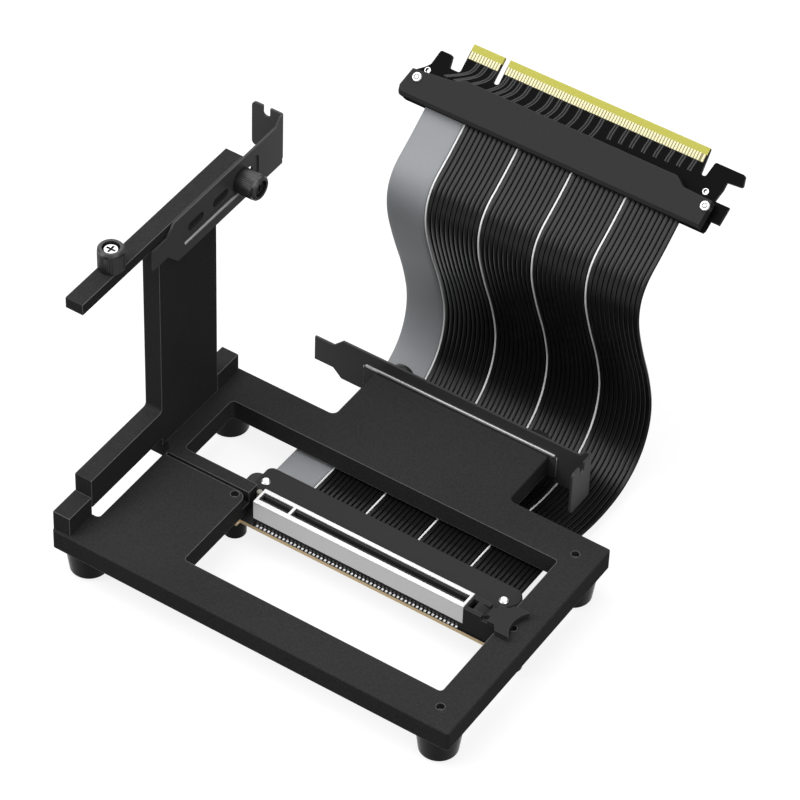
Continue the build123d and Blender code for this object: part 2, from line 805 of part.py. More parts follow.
def flange_plate(length, up):
    """The bent end of a slot cover, with the fork for the case's screw."""
    face = press_depth + sheet
    low = -strip_width / 2 + flange_low
    high = strip_width / 2 + flange_rise
    start = length - flange_step / 2
    section = make_face(Polyline((start, press_depth), (length - sheet, press_depth),
                                 (length - sheet, -flange_length), (length, -flange_length),
                                 (length, face), (start, face), close=True))
    wall = extrude(Plane.XZ * section, high - low)
    wall = Pos(0, high if up > 0 else -low, 0) * wall
    outer = [edge for edge in wall.edges().filter_by(Axis.Y)
             if edge.center().X > length - near and edge.center().Z > face - near]
    wall = fillet(outer, bend_radius)
    inner = [edge for edge in wall.edges().filter_by(Axis.Y)
             if abs(edge.center().X - length + sheet) < near
             and abs(edge.center().Z - press_depth) < near]
    wall = fillet(inner, bend_radius - sheet)
    fork_middle = -fork_from_face - fork_width / 2
    ends = [edge for edge in wall.edges().filter_by(Axis.X)
            if edge.center().Z < near - flange_length]
    wall = fillet(ends, flange_corner)
    side = up * high
    fork = block(length - 2 * sheet, length + past, min(side, side - up * fork_depth),
                 max(side, side - up * fork_depth), fork_middle - fork_width / 2,
                 fork_middle + fork_width / 2)
    bottom = fork.edges().filter_by(Axis.X).sort_by(Axis.Y)
    return wall - fillet(bottom[:2] if up > 0 else bottom[-2:], fork_corner)


def upper_slot_cover():
    """The short cover beside the top bar."""
    flat = slot_cover(upper_strip, upper_holes, upper_hole_lift, upper_field, upper_field_half,
                      upper_tongue, 1)
    seat = Plane(origin=(upright_width, upper_tip, upper_screw_height - upper_hole_lift),
                 x_dir=(0, 1, 0), z_dir=(1, 0, 0))
    return seat.location * flat


def lower_slot_cover():
    """The full-size cover on the back of the base's tab."""
    holes = [lower_hole_first + number * lower_hole_pitch for number in range(lower_hole_count)]
    flat = slot_cover(lower_strip, holes, lower_hole_lift, lower_field, lower_field_half,
                      lower_tongue, -1)
    seat = Plane(origin=(lower_tip, tab_back, lower_screw_height - lower_hole_lift),
                 x_dir=(1, 0, 0), z_dir=(0, 1, 0))
    return seat.location * flat


def thumb_cap():
    """A round cap with a recess in its outer end; it stands on the plane at zero."""
    cap = rod(0, 0, 0, cap_length, cap_diameter)
    cap = chamfer(cap.edges().sort_by(Axis.Z)[-1], cap_bevel)
    cap -= rod(0, 0, cap_length - cap_recess, cap_length + past, cap_recess_diameter)
    return cap - rod(0, 0, -past, cap_length, thumb_hole)


def thumb_core():
    """The steel screw inside a cap: bevelled head with a cross recess, and its shank."""
    seat = cap_length - cap_recess
    top = seat + thumb_head_height
    head = rod(0, 0, seat, top, thumb_head)
    head = chamfer(head.edges().sort_by(Axis.Z)[-1], thumb_head_bevel)
    core = head + rod(0, 0, -screw_reach, seat + join, thumb_shank)
    bottom = top - thumb_cross_depth
    half_length = thumb_cross_length / 2
    half_width = thumb_cross_width / 2
    core -= block(-half_length, half_length, -half_width, half_width, bottom, top + past)
    return core - block(-half_width, half_width, -half_length, half_length, bottom, top + past)


def thumb_seats():
    """Where each thumb screw sits: on the bar, on the short cover and on the long one."""
    seats = {"bar": Plane(origin=(bar_screw_at[0], bar_screw_at[1], bar_top)),
             "upper": Plane(origin=(upright_width + sheet, upper_screw_y, upper_screw_height),
                            x_dir=(0, 1, 0), z_dir=(1, 0, 0))}
    for name, x in zip(("lower_left", "lower_right"), lower_screws_at):
        seats[name] = Plane(origin=(x, tab_back + sheet, lower_screw_height),
                            x_dir=(1, 0, 0), z_dir=(0, 1, 0))
    return seats


def all_pieces():
    pieces = {"base_frame": base_frame(), "upright": upright(),
              "upright_screws": upright_screws(), "foot_screws": foot_screws(),
              "riser_board": riser_board(), "riser_spacers": riser_spacers(),
              "riser_screws": riser_screws(), "slot_shield": slot_shield(),
              "slot_housing": slot_housing(), "slot_contacts": slot_contacts(),
              "slot_latch": slot_latch(), "locator_peg": locator_peg(),
              "riser_cover_top": riser_cover_top(), "riser_cover_bottom": riser_cover_bottom(),
              "riser_cover_screws": riser_cover_screws(),
              "upper_slot_cover": upper_slot_cover(), "lower_slot_cover": lower_slot_cover(),
              "cable_shielded_band": shielded_band()}
    for name in feet_at:
        pieces["foot_" + name] = foot(name)
    for number in range(bundle_count):
        pieces[f"cable_bundle_{number + 1}"] = bundle(number)
    plug = plug_plane().location
    pieces["plug_board"] = plug * plug_board()
    pieces["plug_cover_front"] = plug * plug_cover_front()
    pieces["plug_cover_back"] = plug * plug_cover_back()
    pieces["plug_rivets"] = [plug * rivet for rivet in plug_rivets()]
    for name, seat in thumb_seats().items():
        pieces["thumb_cap_" + name] = seat.location * thumb_cap()
        pieces["thumb_core_" + name] = seat.location * thumb_core()
    return pieces


def report_cables():
    points = cable_points()
    path = FilletPolyline(*points, radius=[radius for _, radius in route_bends(points)])
    print("cable radii", [round(radius, 1) for _, radius in route_bends(points)])
    print("cable length", round(path.length, 1))
    band = shielded_band()
    width = band_width - cable_spacing
    print("band volume", round(band.volume, 1), "section x length",
          round(width * cable_thickness * path.length, 1))


def main():
    os.makedirs("parts", exist_ok=True)
    for name, shape in all_pieces().items():
        if isinstance(shape, list):
            shape = Compound(children=shape)
        export_step(floor_shift * shape, f"parts/{name}.step")
    report_cables()


main()
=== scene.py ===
"""Looks of the vertical graphics card mount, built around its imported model.

Lengths are in metres. Numbers written in millimetres are multiplied by MM.
"""
import math

import bmesh
import bpy
from mathutils import Matrix, Vector

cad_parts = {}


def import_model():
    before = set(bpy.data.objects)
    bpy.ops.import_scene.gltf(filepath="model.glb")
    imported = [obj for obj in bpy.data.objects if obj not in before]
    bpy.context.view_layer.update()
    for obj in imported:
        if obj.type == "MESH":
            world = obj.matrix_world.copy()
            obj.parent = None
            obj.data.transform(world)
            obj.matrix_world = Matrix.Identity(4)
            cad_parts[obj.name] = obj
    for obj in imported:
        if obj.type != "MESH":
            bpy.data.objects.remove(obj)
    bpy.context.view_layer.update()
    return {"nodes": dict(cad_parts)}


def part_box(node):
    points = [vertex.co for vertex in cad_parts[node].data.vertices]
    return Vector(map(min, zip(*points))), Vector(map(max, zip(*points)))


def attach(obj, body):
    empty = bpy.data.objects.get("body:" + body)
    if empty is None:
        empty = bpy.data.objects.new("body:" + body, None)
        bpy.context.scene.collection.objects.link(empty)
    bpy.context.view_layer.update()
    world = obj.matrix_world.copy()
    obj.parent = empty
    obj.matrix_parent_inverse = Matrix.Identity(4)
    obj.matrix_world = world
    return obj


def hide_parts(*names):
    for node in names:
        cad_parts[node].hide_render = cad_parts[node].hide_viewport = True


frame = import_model()

MM = 0.001

# Camera, solved from the photograph's corners
CAMERA_PLACE = (0.56319, -0.86926, 1.09116)
CAMERA_AZIMUTH = math.radians(32.118)
CAMERA_ELEVATION = math.radians(44.443)
CAMERA_ROLL = math.radians(2.097)
CAMERA_LENS = 187.95
SENSOR_WIDTH = 36.0

# Lamps: places in metres, sizes in metres, powers in watts
LAMPS = (("top_lamp", (-0.35, -0.15, 1.5), 1.4, 21.5),
         ("key_lamp", (-0.9, -0.9, 0.95), 0.7, 8.0),
         ("right_lamp", (1.1, -0.3, 0.9), 0.8, 7.0),
         ("back_lamp", (-0.55, 1.15, 1.1), 1.0, 6.0))
# Strength of the light all round, the floor's grey, and what the floor adds where it is seen
FILL = 0.14
FLOOR_SHADE = 0.22
FLOOR_LIFT = 0.84

# The route that every ribbon follows, seen from the side: (y, z) in the row frame
CABLE_ROUTE = [(-0.00245, 0.0107), (0.01105, 0.0107), (0.02695, 0.0103), (0.04265, 0.0065),
               (0.06045, 0.0032), (0.07745, 0.0047), (0.08975, 0.0142), (0.09375, 0.0308),
               (0.08945, 0.0500), (0.08185, 0.0698), (0.07585, 0.0900), (0.07825, 0.1038),
               (0.092158, 0.112159), (0.103978, 0.121394)]
CABLE_THICKNESS = 1.2 * MM
BUNDLES = 4
RIBS = 11
STRIPE_WIDTH = 0.55 * MM
ROUTE_DETAIL = 10
# A bundle's coats, in the order of its material slots; the groove coat is painted shade
JACKET, STRIPE, GROOVE = 0, 1, 2
# One stripe across its width: share of the width and share of the half thickness
STRIPE_SHAPE = ((0.0, 0.4), (0.12, 1.03), (0.88, 1.03))
# One rib across its pitch: share of the pitch, share of the half thickness, and the coat
# of the face that follows
RIB_SHAPE = ((0.0, 0.4, GROOVE), (0.1, 0.84, JACKET), (0.24, 1.0, JACKET), (0.5, 1.04, JACKET),
             (0.76, 1.0, JACKET), (0.9, 0.84, GROOVE))
RIB_END = 0.3
# The grey band's rounded edge: share of its width and share of the half thickness
BAND_ROUND = 0.5 * MM
BAND_EDGE = ((0.0, 0.35), (0.3, 0.8), (1.0, 1.0))
BAND_STEPS = 8

# The plug's own plane: x across, y along the cable from its exit, z out of the front face.
# Lengths on it are in millimetres, with x counted from the left edge of the base.
PLUG_LEAN = math.radians(38.0)
PLUG_EXIT = (-81.25, 99.25, 117.7)
BOARD_HALF = 0.8
COVER_FRONT = 5.5
COVER_BACK = -5.0
RIVET_HEAD = 0.7
RIVETS = ((36.2, 9.6), (155.8, 9.6))
HOLES = ((36.4, 14.0), (151.8, 14.9))
FINGER_TOP = 29.5
BEVEL_START = 26.8
STRIP_PROUD = 0.03
STRIP_CHAMFER = 0.42
# The strip's tip edges lie within this reach of its end and are this level, in metres
TIP_REACH = 1
TIP_LEVEL = 0.1 * MM
PAD_START = 23.9
BLOCKS = ((48.2, 61.2), (63.6, 146.3))
PAD_PITCH = 1.15
PAD_WIDTH = 0.78
PAD_HIGH = 0.05
PAD_EDGE = 0.02
PAD_COUNTS = (11, 70)
FIRST_PAD_INSET = 0.75
LAST_PAD = 145.4
GROUND_HIGH = 0.02
GROUND_INSET = 0.2
GROUND_LAP = 0.1
TRACE_STARTS = (53.2, 56.4, 60.2, 65.7, 68.5, 71.3, 74.9, 79.7, 84.3, 87.7, 91.2, 96.2, 101.0,
                105.3, 111.0, 115.6, 120.0, 124.8, 129.5, 134.2, 138.8, 143.2)
TRACE_WIDTH = 0.78
TRACE_GAP = 1.0
TRACE_HIGH = 0.07
# How far the first tracks sweep to the left, how fast that fades, and where tracks go straight
SWEEP_MOST = 10
SWEEP_FROM = 52
SWEEP_FADE = 32
STRAIGHT_FROM = 108
# Points of a swept track (share of the sweep, along) and of a straight one (shift, along)
SWEPT_POINTS = ((0.03, 22.2), (0.12, 19.6), (0.5, 17.0), (1.0, 14.6))
STRAIGHT_POINTS = ((0.1, 22.4), (0.5, 20.4))
# Where straight tracks end: along at the given x, and how that grows to the right
STRAIGHT_END = 17.6
STRAIGHT_END_X = 110
STRAIGHT_END_SLOPE = 0.05
# Rivet heads: radius, height, broken edge, rim, and the groove round the raised centre
RIM_RADIUS = 1.66
RIM_HIGH = 0.2
RIM_EDGE = 0.08
RIM_WIDTH = 0.55
RIVET_GROOVE_DEEP = 0.14
RIVET_GROOVE_WIDTH = 0.34
RIVET_GROOVE_REACH = (0.5, 1.0)
CENTRE_RISE = 0.12
# Tinned rims of the small holes
HOLE_RIM_RADIUS = 1.02
HOLE_RIM_HALF = 0.2
HOLE_RIM_FLAT = 0.3

# Height of the slot leads' feet, above which the leads are painted shade, and how far the bar
# thumb screw's bright face reaches down into its cross, below which the cross is painted shade
LEAD_THICKNESS = 0.5 * MM
CROSS_EDGE = 0.1 * MM

# Rolled edges of the slot covers' pressed fields, coloured light grey as a painted highlight, in
# millimetres from the cover's low corner: name, node, body, low corner and high corner
FIELD_EDGES = (
    ("lower_field_top", "lower_slot_cover", "lower_cover", (22.8, 12.05, 12.4),
     (105.2, 12.86, 13.6)),
    ("lower_field_left", "lower_slot_cover", "lower_cover", (21.9, 12.22, 3.0),
     (22.25, 12.74, 12.7)),
    ("lower_field_right", "lower_slot_cover", "lower_cover", (105.75, 12.22, 3.0),
     (106.1, 12.74, 12.7)),
    ("upper_field_bottom", "upper_slot_cover", "upper_cover", (13.05, 18.4, 4.4),
     (13.75, 62.0, 5.5)))
BEAD_ROUND = 0.42
BEAD_SEGMENTS = 4

# Thumb caps
CAP_RADIUS = 4.76 * MM
CAP_TURNS = {"bar": (0, 0, 0), "upper": (0, math.pi / 2, 0),
             "lower_left": (-math.pi / 2, 0, 0), "lower_right": (-math.pi / 2, 0, 0)}
KNURL_RIDGES = 54
KNURL_HEIGHT = 0.12 * MM
KNURL_LENGTH = 6.9 * MM
KNURL_DROP = 0.55 * MM

# Grain: size of the soft clouds and how much they count beside the fine specks
CLOUD_SIZE = 28
CLOUD_SHARE = 0.35
GRAIN_MIDDLE = 0.5 + CLOUD_SHARE / 2

# Depth of the bumps on fine metal and paint, and on moulded and lacquered surfaces
FINE_DEPTH = 0.01 * MM
SOFT_DEPTH = 0.05 * MM

# How open the space inside a surface is where the painted edge highlight begins and where it is
# full
EDGE_BEGINS = 0.85
EDGE_FULL = 0.55

# A board's face counts as a cut side below this share of upright in its normal
CUT_SIDE = 0.5


def camera():
    """The camera at the photograph's viewing angle."""
    flat = math.cos(CAMERA_ELEVATION)
    back = Vector((math.sin(CAMERA_AZIMUTH) * flat, -math.cos(CAMERA_AZIMUTH) * flat,
                   math.sin(CAMERA_ELEVATION)))
    turn = back.to_track_quat("Z", "Y").to_matrix().to_4x4()
    bpy.ops.object.camera_add(location=CAMERA_PLACE)
    cam = bpy.context.object
    roll = Matrix.Rotation(CAMERA_ROLL, 4, "Z")
    cam.matrix_world = Matrix.Translation(CAMERA_PLACE) @ turn @ roll
    cam.data.lens = CAMERA_LENS
    cam.data.sensor_width = SENSOR_WIDTH
    cam.data.clip_start = 0.05
    cam.data.clip_end = 20
    bpy.context.scene.camera = cam


def area_light(name, place, size, energy, aim=(0, 0, 0.04)):
    """A soft square lamp that looks at the object."""
    bpy.ops.object.light_add(type="AREA", location=place)
    lamp = bpy.context.object
    lamp.name = name
    lamp.data.size = size
    lamp.data.energy = energy
    to_aim = Vector(aim) - Vector(place)
    lamp.rotation_euler = to_aim.to_track_quat("-Z", "Y").to_euler()


def lights():
    """All the lamps."""
    for name, place, size, power in LAMPS:
        area_light(name, place, size, power)


def seen_directly(nodes, links):
    """A mask that is 1 for what the camera, a reflection or glass sees, and 0 for light."""
    path = nodes.new("ShaderNodeLightPath")
    first = nodes.new("ShaderNodeMath")
    first.operation = "MAXIMUM"
    links.new(path.outputs["Is Camera Ray"], first.inputs[0])
    links.new(path.outputs["Is Glossy Ray"], first.inputs[1])
    second = nodes.new("ShaderNodeMath")
    second.operation = "MAXIMUM"
    links.new(first.outputs[0], second.inputs[0])
    links.new(path.outputs["Is Transmission Ray"], second.inputs[1])
    return second.outputs[0]


def world():
    """Plain light all round, and a white background for what is seen directly."""
    sky = bpy.data.worlds.new("studio")
    bpy.context.scene.world = sky
    sky.use_nodes = True
    nodes = sky.node_tree.nodes
    links = sky.node_tree.links
    nodes.clear()
    out = nodes.new("ShaderNodeOutputWorld")
    fill = nodes.new("ShaderNodeBackground")
    fill.inputs["Color"].default_value = (1, 1, 1, 1)
    fill.inputs["Strength"].default_value = FILL
    white = nodes.new("ShaderNodeBackground")
    white.inputs["Color"].default_value = (1, 1, 1, 1)
    white.inputs["Strength"].default_value = 1.0
    mix = nodes.new("ShaderNodeMixShader")
    links.new(seen_directly(nodes, links), mix.inputs["Fac"])
    links.new(fill.outputs[0], mix.inputs[1])
    links.new(white.outputs[0], mix.inputs[2])
    links.new(mix.outputs[0], out.inputs["Surface"])


def floor():
    """A white floor that keeps the object's shadow."""
    bpy.ops.mesh.primitive_plane_add(size=6, location=(0, 0, -0.0002))
    plane = bpy.context.object
    plane.name = "floor"
    material = bpy.data.materials.new("white_floor")
    material.use_nodes = True
    nodes = material.node_tree.nodes
    links = material.node_tree.links
    shader = nodes["Principled BSDF"]
    shader.inputs["Base Color"].default_value = (FLOOR_SHADE,) * 3 + (1,)
    shader.inputs["Roughness"].default_value = 0.9
    shader.inputs["Specular IOR Level"].default_value = 0.0
    glow = nodes.new("ShaderNodeEmission")
    lift = nodes.new("ShaderNodeMath")
    lift.operation = "MULTIPLY"
    links.new(seen_directly(nodes, links), lift.inputs[0])
    lift.inputs[1].default_value = FLOOR_LIFT
    links.new(lift.outputs[0], glow.inputs["Strength"])
    both = nodes.new("ShaderNodeAddShader")
    links.new(shader.outputs[0], both.inputs[0])
    links.new(glow.outputs[0], both.inputs[1])
    links.new(both.outputs[0], nodes["Material Output"].inputs["Surface"])
    plane.data.materials.append(material)


def group(name, inputs, outputs):
    """An empty shader group with named number or colour sockets."""
    tree = bpy.data.node_groups.new(name, "ShaderNodeTree")
    for label, kind, value in inputs:
        socket = tree.interface.new_socket(label, in_out="INPUT", socket_type=kind)
        socket.default_value = value
    for label, kind in outputs:
        tree.interface.new_socket(label, in_out="OUTPUT", socket_type=kind)
    source = tree.nodes.new("NodeGroupInput")
    sink = tree.nodes.new("NodeGroupOutput")
    return tree, source, sink


def grain_group():
    """Fine and coarse specks: a colour that varies about a base, a roughness and a height."""
    tree, source, sink = group("surface_grain",
                               [("Base", "NodeSocketColor", (0.5, 0.5, 0.5, 1)),
                                ("Speck size", "NodeSocketFloat", 2000.0),
                                ("Colour spread", "NodeSocketFloat", 0.2),
                                ("Roughness", "NodeSocketFloat", 0.5),
                                ("Roughness spread", "NodeSocketFloat", 0.1)],
                               [("Color", "NodeSocketColor"), ("Roughness", "NodeSocketFloat"),
                                ("Height", "NodeSocketFloat")])
    nodes = tree.nodes
    links = tree.links
    place = nodes.new("ShaderNodeTexCoord")
    fine = nodes.new("ShaderNodeTexNoise")
    fine.inputs["Detail"].default_value = 3
    links.new(place.outputs["Object"], fine.inputs["Vector"])
    links.new(source.outputs["Speck size"], fine.inputs["Scale"])
    soft = nodes.new("ShaderNodeTexNoise")
    soft.inputs["Scale"].default_value = CLOUD_SIZE
    soft.inputs["Detail"].default_value = 2
    links.new(place.outputs["Object"], soft.inputs["Vector"])
    both = nodes.new("ShaderNodeMath")
    both.operation = "MULTIPLY_ADD"
    links.new(soft.outputs["Fac"], both.inputs[0])
    both.inputs[1].default_value = CLOUD_SHARE
    links.new(fine.outputs["Fac"], both.inputs[2])
    centred = nodes.new("ShaderNodeMath")
    centred.operation = "SUBTRACT"
    links.new(both.outputs[0], centred.inputs[0])
    centred.inputs[1].default_value = GRAIN_MIDDLE
    spread = nodes.new("ShaderNodeMath")
    spread.operation = "MULTIPLY_ADD"
    links.new(centred.outputs[0], spread.inputs[0])
    links.new(source.outputs["Colour spread"], spread.inputs[1])
    spread.inputs[2].default_value = 1.0
    tint = nodes.new("ShaderNodeVectorMath")
    tint.operation = "SCALE"
    links.new(source.outputs["Base"], tint.inputs[0])
    links.new(spread.outputs[0], tint.inputs["Scale"])
    links.new(tint.outputs[0], sink.inputs["Color"])
    rough = nodes.new("ShaderNodeMath")
    rough.operation = "MULTIPLY_ADD"
    rough.use_clamp = True
    links.new(centred.outputs[0], rough.inputs[0])
    links.new(source.outputs["Roughness spread"], rough.inputs[1])
    links.new(source.outputs["Roughness"], rough.inputs[2])
    links.new(rough.outputs[0], sink.inputs["Roughness"])
    links.new(fine.outputs["Fac"], sink.inputs["Height"])
    return tree


def edge_group():
    """A mask that is 1 along outer edges and 0 on flat faces and in corners."""
    tree, source, sink = group("outer_edges", [("Reach", "NodeSocketFloat", 0.0004)],
                               [("Mask", "NodeSocketFloat")])
    nodes = tree.nodes
    links = tree.links
    inside = nodes.new("ShaderNodeAmbientOcclusion")
    inside.inside = True
    inside.only_local = True
    inside.samples = 8
    links.new(source.outputs["Reach"], inside.inputs["Distance"])
    spread = nodes.new("ShaderNodeMapRange")
    links.new(inside.outputs["AO"], spread.inputs["Value"])
    spread.inputs["From Min"].default_value = EDGE_BEGINS
    spread.inputs["From Max"].default_value = EDGE_FULL
    links.new(spread.outputs["Result"], sink.inputs["Mask"])
    return tree


def blend_colour(material, mask, colour):
    """Lays another colour over a material's own where the mask is 1."""
    nodes = material.node_tree.nodes
    links = material.node_tree.links
    shader = nodes["Principled BSDF"]
    mix = nodes.new("ShaderNodeMix")
    mix.data_type = "RGBA"
    links.new(mask, mix.inputs["Factor"])
    links.new(shader.inputs["Base Color"].links[0].from_socket, mix.inputs["A"])
    mix.inputs["B"].default_value = (*colour, 1)
    links.new(mix.outputs["Result"], shader.inputs["Base Color"])
    return material


def painted_edge_highlight(material, colour, reach=0.4 * MM):
    """Painted highlight along outer edges, where their corners would catch the light."""
    edges = material.node_tree.nodes.new("ShaderNodeGroup")
    edges.node_tree = EDGES
    edges.inputs["Reach"].default_value = reach
    return blend_colour(material, edges.outputs["Mask"], colour)


GRAIN = grain_group()
EDGES = edge_group()


def grey(level):
    """An even grey."""
    return (level, level, level)


def finish(name, colour, roughness, speck, spread=0.1, rough_spread=0.1, bump=0.1,
           depth=SOFT_DEPTH, metal=0.0, specular=0.5):
    """A material whose colour, roughness and bump vary with the grain group."""
    material = bpy.data.materials.new(name)
    material.use_nodes = True
    nodes = material.node_tree.nodes
    links = material.node_tree.links
    shader = nodes["Principled BSDF"]
    grain = nodes.new("ShaderNodeGroup")
    grain.node_tree = GRAIN
    grain.inputs["Base"].default_value = (*colour, 1)
    grain.inputs["Speck size"].default_value = speck
    grain.inputs["Colour spread"].default_value = spread
    grain.inputs["Roughness"].default_value = roughness
    grain.inputs["Roughness spread"].default_value = rough_spread
    links.new(grain.outputs["Color"], shader.inputs["Base Color"])
    links.new(grain.outputs["Roughness"], shader.inputs["Roughness"])
    bump_node = nodes.new("ShaderNodeBump")
    bump_node.inputs["Strength"].default_value = bump
    bump_node.inputs["Distance"].default_value = depth
    links.new(grain.outputs["Height"], bump_node.inputs["Height"])
    links.new(bump_node.outputs["Normal"], shader.inputs["Normal"])
    shader.inputs["Metallic"].default_value = metal
    shader.inputs["Specular IOR Level"].default_value = specular
    return material


def wear(node, material):
    """Gives a CAD node its material."""
    target = frame["nodes"][node]
    target.data.materials.clear()
    target.data.materials.append(material)


def route_line():
    """Points along the smooth line of the cable route, read from its spline."""
    data = bpy.data.curves.new("cable_route", "CURVE")
    data.dimensions = "3D"
    data.resolution_u = ROUTE_DETAIL
    spline = data.splines.new("NURBS")
    spline.points.add(len(CABLE_ROUTE) - 1)
    for point, (y, z) in zip(spline.points, CABLE_ROUTE):
        point.co = (0, y, z, 1)
    spline.order_u = 3
    spline.use_endpoint_u = True
    holder = bpy.data.objects.new("cable_route", data)
    bpy.context.scene.collection.objects.link(holder)
    mesh = bpy.data.meshes.new_from_object(holder)
    line = [Vector(vertex.co) for vertex in mesh.vertices]
    bpy.data.objects.remove(holder)
    bpy.data.meshes.remove(mesh)
    return line


def line_frames(line):
    """Each point of the route with the direction square to the ribbon there."""
    frames = []
    for number, here in enumerate(line):
        before = line[max(number - 1, 0)]
        after = line[min(number + 1, len(line) - 1)]
        along = (after - before).normalized()
        frames.append((here, Vector((0, -along.z, along.y))))
    return frames


def sweep_ribbon(name, section, frames, marks):
    """A closed ribbon: the section's (x, height) loop carried along the route."""
    mesh = bpy.data.meshes.new(name)
    shape = bmesh.new()
    rings = []
    for here, normal in frames:
        ring = [shape.verts.new((x, here.y + normal.y * h, here.z + normal.z * h))
                for x, h in section]
        rings.append(ring)
    count = len(section)
    for first, second in zip(rings, rings[1:]):
        for number in range(count):
            following = (number + 1) % count
            face = shape.faces.new((first[number], first[following],
                                    second[following], second[number]))
            face.material_index = marks[number]
            face.smooth = True
    shape.faces.new(list(reversed(rings[0])))
    shape.faces.new(rings[-1])
    bmesh.ops.recalc_face_normals(shape, faces=shape.faces)
    shape.to_mesh(mesh)
    shape.free()
    piece = bpy.data.objects.new(name, mesh)
    bpy.context.scene.collection.objects.link(piece)
    return piece


def ribbed_section(left, right):
    """A bundle's outline: a flat striped core at its left edge, then round ribs."""
    half = CABLE_THICKNESS / 2
    pitch = (right - left - STRIPE_WIDTH) / RIBS
    upper = [(left + share * STRIPE_WIDTH, height * half) for share, height in STRIPE_SHAPE]
    marks = [STRIPE] * len(STRIPE_SHAPE)
    for rib in range(RIBS):
        start = left + STRIPE_WIDTH + rib * pitch
        for share, height, mark in RIB_SHAPE:
            upper.append((start + share * pitch, height * half))
            marks.append(mark)
    upper.append((right, RIB_END * half))
    marks.append(JACKET)
    lower = [(x, -h) for x, h in reversed(upper)]
    back = list(reversed(marks[:-1])) + [marks[0]]
    return upper + lower, marks + back


def flat_section(left, right):
    """The shielded band's outline: flat faces with rounded edges."""
    half = CABLE_THICKNESS / 2
    rise = [(share * BAND_ROUND, height * half) for share, height in BAND_EDGE]
    inner = right - left - 2 * BAND_ROUND
    upper = [(left + x, h) for x, h in rise]
    upper += [(left + BAND_ROUND + inner * step / BAND_STEPS, half)
              for step in range(1, BAND_STEPS)]
    upper += [(right - x, h) for x, h in reversed(rise)]
    lower = [(x, -h) for x, h in reversed(upper)]
    return upper + lower, [JACKET] * (2 * len(upper))


PLUG_FRAME = Matrix(((1, 0, 0, PLUG_EXIT[0] * MM),
                     (0, math.cos(PLUG_LEAN), -math.sin(PLUG_LEAN), PLUG_EXIT[1] * MM),
                     (0, math.sin(PLUG_LEAN), math.cos(PLUG_LEAN), PLUG_EXIT[2] * MM),
                     (0, 0, 0, 1)))


def only(piece):
    """Leaves one object selected and active."""
    bpy.ops.object.select_all(action="DESELECT")
    piece.select_set(True)
    bpy.context.view_layer.objects.active = piece


def settle(piece):
    """Puts the object's place, turn and size into its mesh."""
    only(piece)
    bpy.ops.object.transform_apply(location=True, rotation=True, scale=True)


def to_plug(piece):
    """Moves a piece that was made in the plug's plane, in metres, to the plug."""
    piece.matrix_world = PLUG_FRAME
    settle(piece)


def apply_bevel(piece, width, segments=1, angle=30):
    """Breaks every edge that is sharper than the angle."""
    only(piece)
    bevel = piece.modifiers.new("edges", "BEVEL")
    bevel.width = width
    bevel.segments = segments
    bevel.limit_method = "ANGLE"
    bevel.angle_limit = math.radians(angle)
    bpy.ops.object.modifier_apply(modifier=bevel.name)


def slab(name, low, high, edge=0.0, segments=1):
    """A thin block between two corners in millimetres, with its edges broken."""
    low = Vector(low) * MM
    high = Vector(high) * MM
    bpy.ops.mesh.primitive_cube_add(size=1, location=(low + high) / 2)
    piece = bpy.context.object
    piece.name = name
    piece.scale = high - low
    settle(piece)
    if edge:
        apply_bevel(piece, edge * MM, segments)
    return piece


def repeat(piece, moves):
    """Copies of a piece, moved by the given vectors and joined into one object."""
    copies = []
    for move in moves:
        copy = piece.copy()
        copy.data = piece.data.copy()
        bpy.context.scene.collection.objects.link(copy)
        copy.data.transform(Matrix.Translation(move))
        copies.append(copy)
    name = piece.name
    bpy.data.objects.remove(piece)
    only(copies[0])
    for copy in copies:
        copy.select_set(True)
    bpy.ops.object.join()
    copies[0].name = name
    return copies[0]


def join(name, pieces):
    """Makes several pieces one object."""
    only(pieces[0])
    for piece in pieces:
        piece.select_set(True)
    bpy.ops.object.join()
    pieces[0].name = name
    return pieces[0]


def dress(piece, body, slot, *coats):
    """Gives a finished piece its body and its materials; the slot argument is not used."""
    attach(piece, body)
    for coat in coats:
        piece.data.materials.append(coat)
    return piece


def finger_strips(coat):
    """The bare laminate along the card edge, folded over its bevels."""
    tip = (FINGER_TOP - TIP_REACH) * MM
    strips = []
    for left, right in BLOCKS:
        strip = slab("strip", (left - STRIP_PROUD, BEVEL_START, -BOARD_HALF - STRIP_PROUD),
                     (right + STRIP_PROUD, FINGER_TOP + STRIP_PROUD, BOARD_HALF + STRIP_PROUD))
        only(strip)
        bpy.ops.object.mode_set(mode="EDIT")
        bpy.ops.mesh.select_all(action="DESELECT")
        shape = bmesh.from_edit_mesh(strip.data)
        for edge in shape.edges:
            first, second = (vertex.co for vertex in edge.verts)
            edge.select_set(min(first.y, second.y) > tip and abs(first.z - second.z) < TIP_LEVEL)
        bmesh.update_edit_mesh(strip.data)
        bpy.ops.mesh.bevel(offset=STRIP_CHAMFER * MM, segments=1)
        bpy.ops.object.mode_set(mode="OBJECT")
        strips.append(strip)
    strip = join("laminate_edge", strips)
    to_plug(strip)
    return dress(strip, "mount", "board", coat)


def pad_ground(side, coat):
    """The pale laminate that shows between the pads."""
    low = BOARD_HALF if side > 0 else -BOARD_HALF - GROUND_HIGH
    grounds = [slab("ground", (left + GROUND_INSET, PAD_START - GROUND_LAP, low),
                    (right - GROUND_INSET, BEVEL_START, low + GROUND_HIGH))
               for left, right in BLOCKS]
    ground = join("pad_ground_front" if side > 0 else "pad_ground_back", grounds)
    to_plug(ground)
    return dress(ground, "mount", "board", coat)


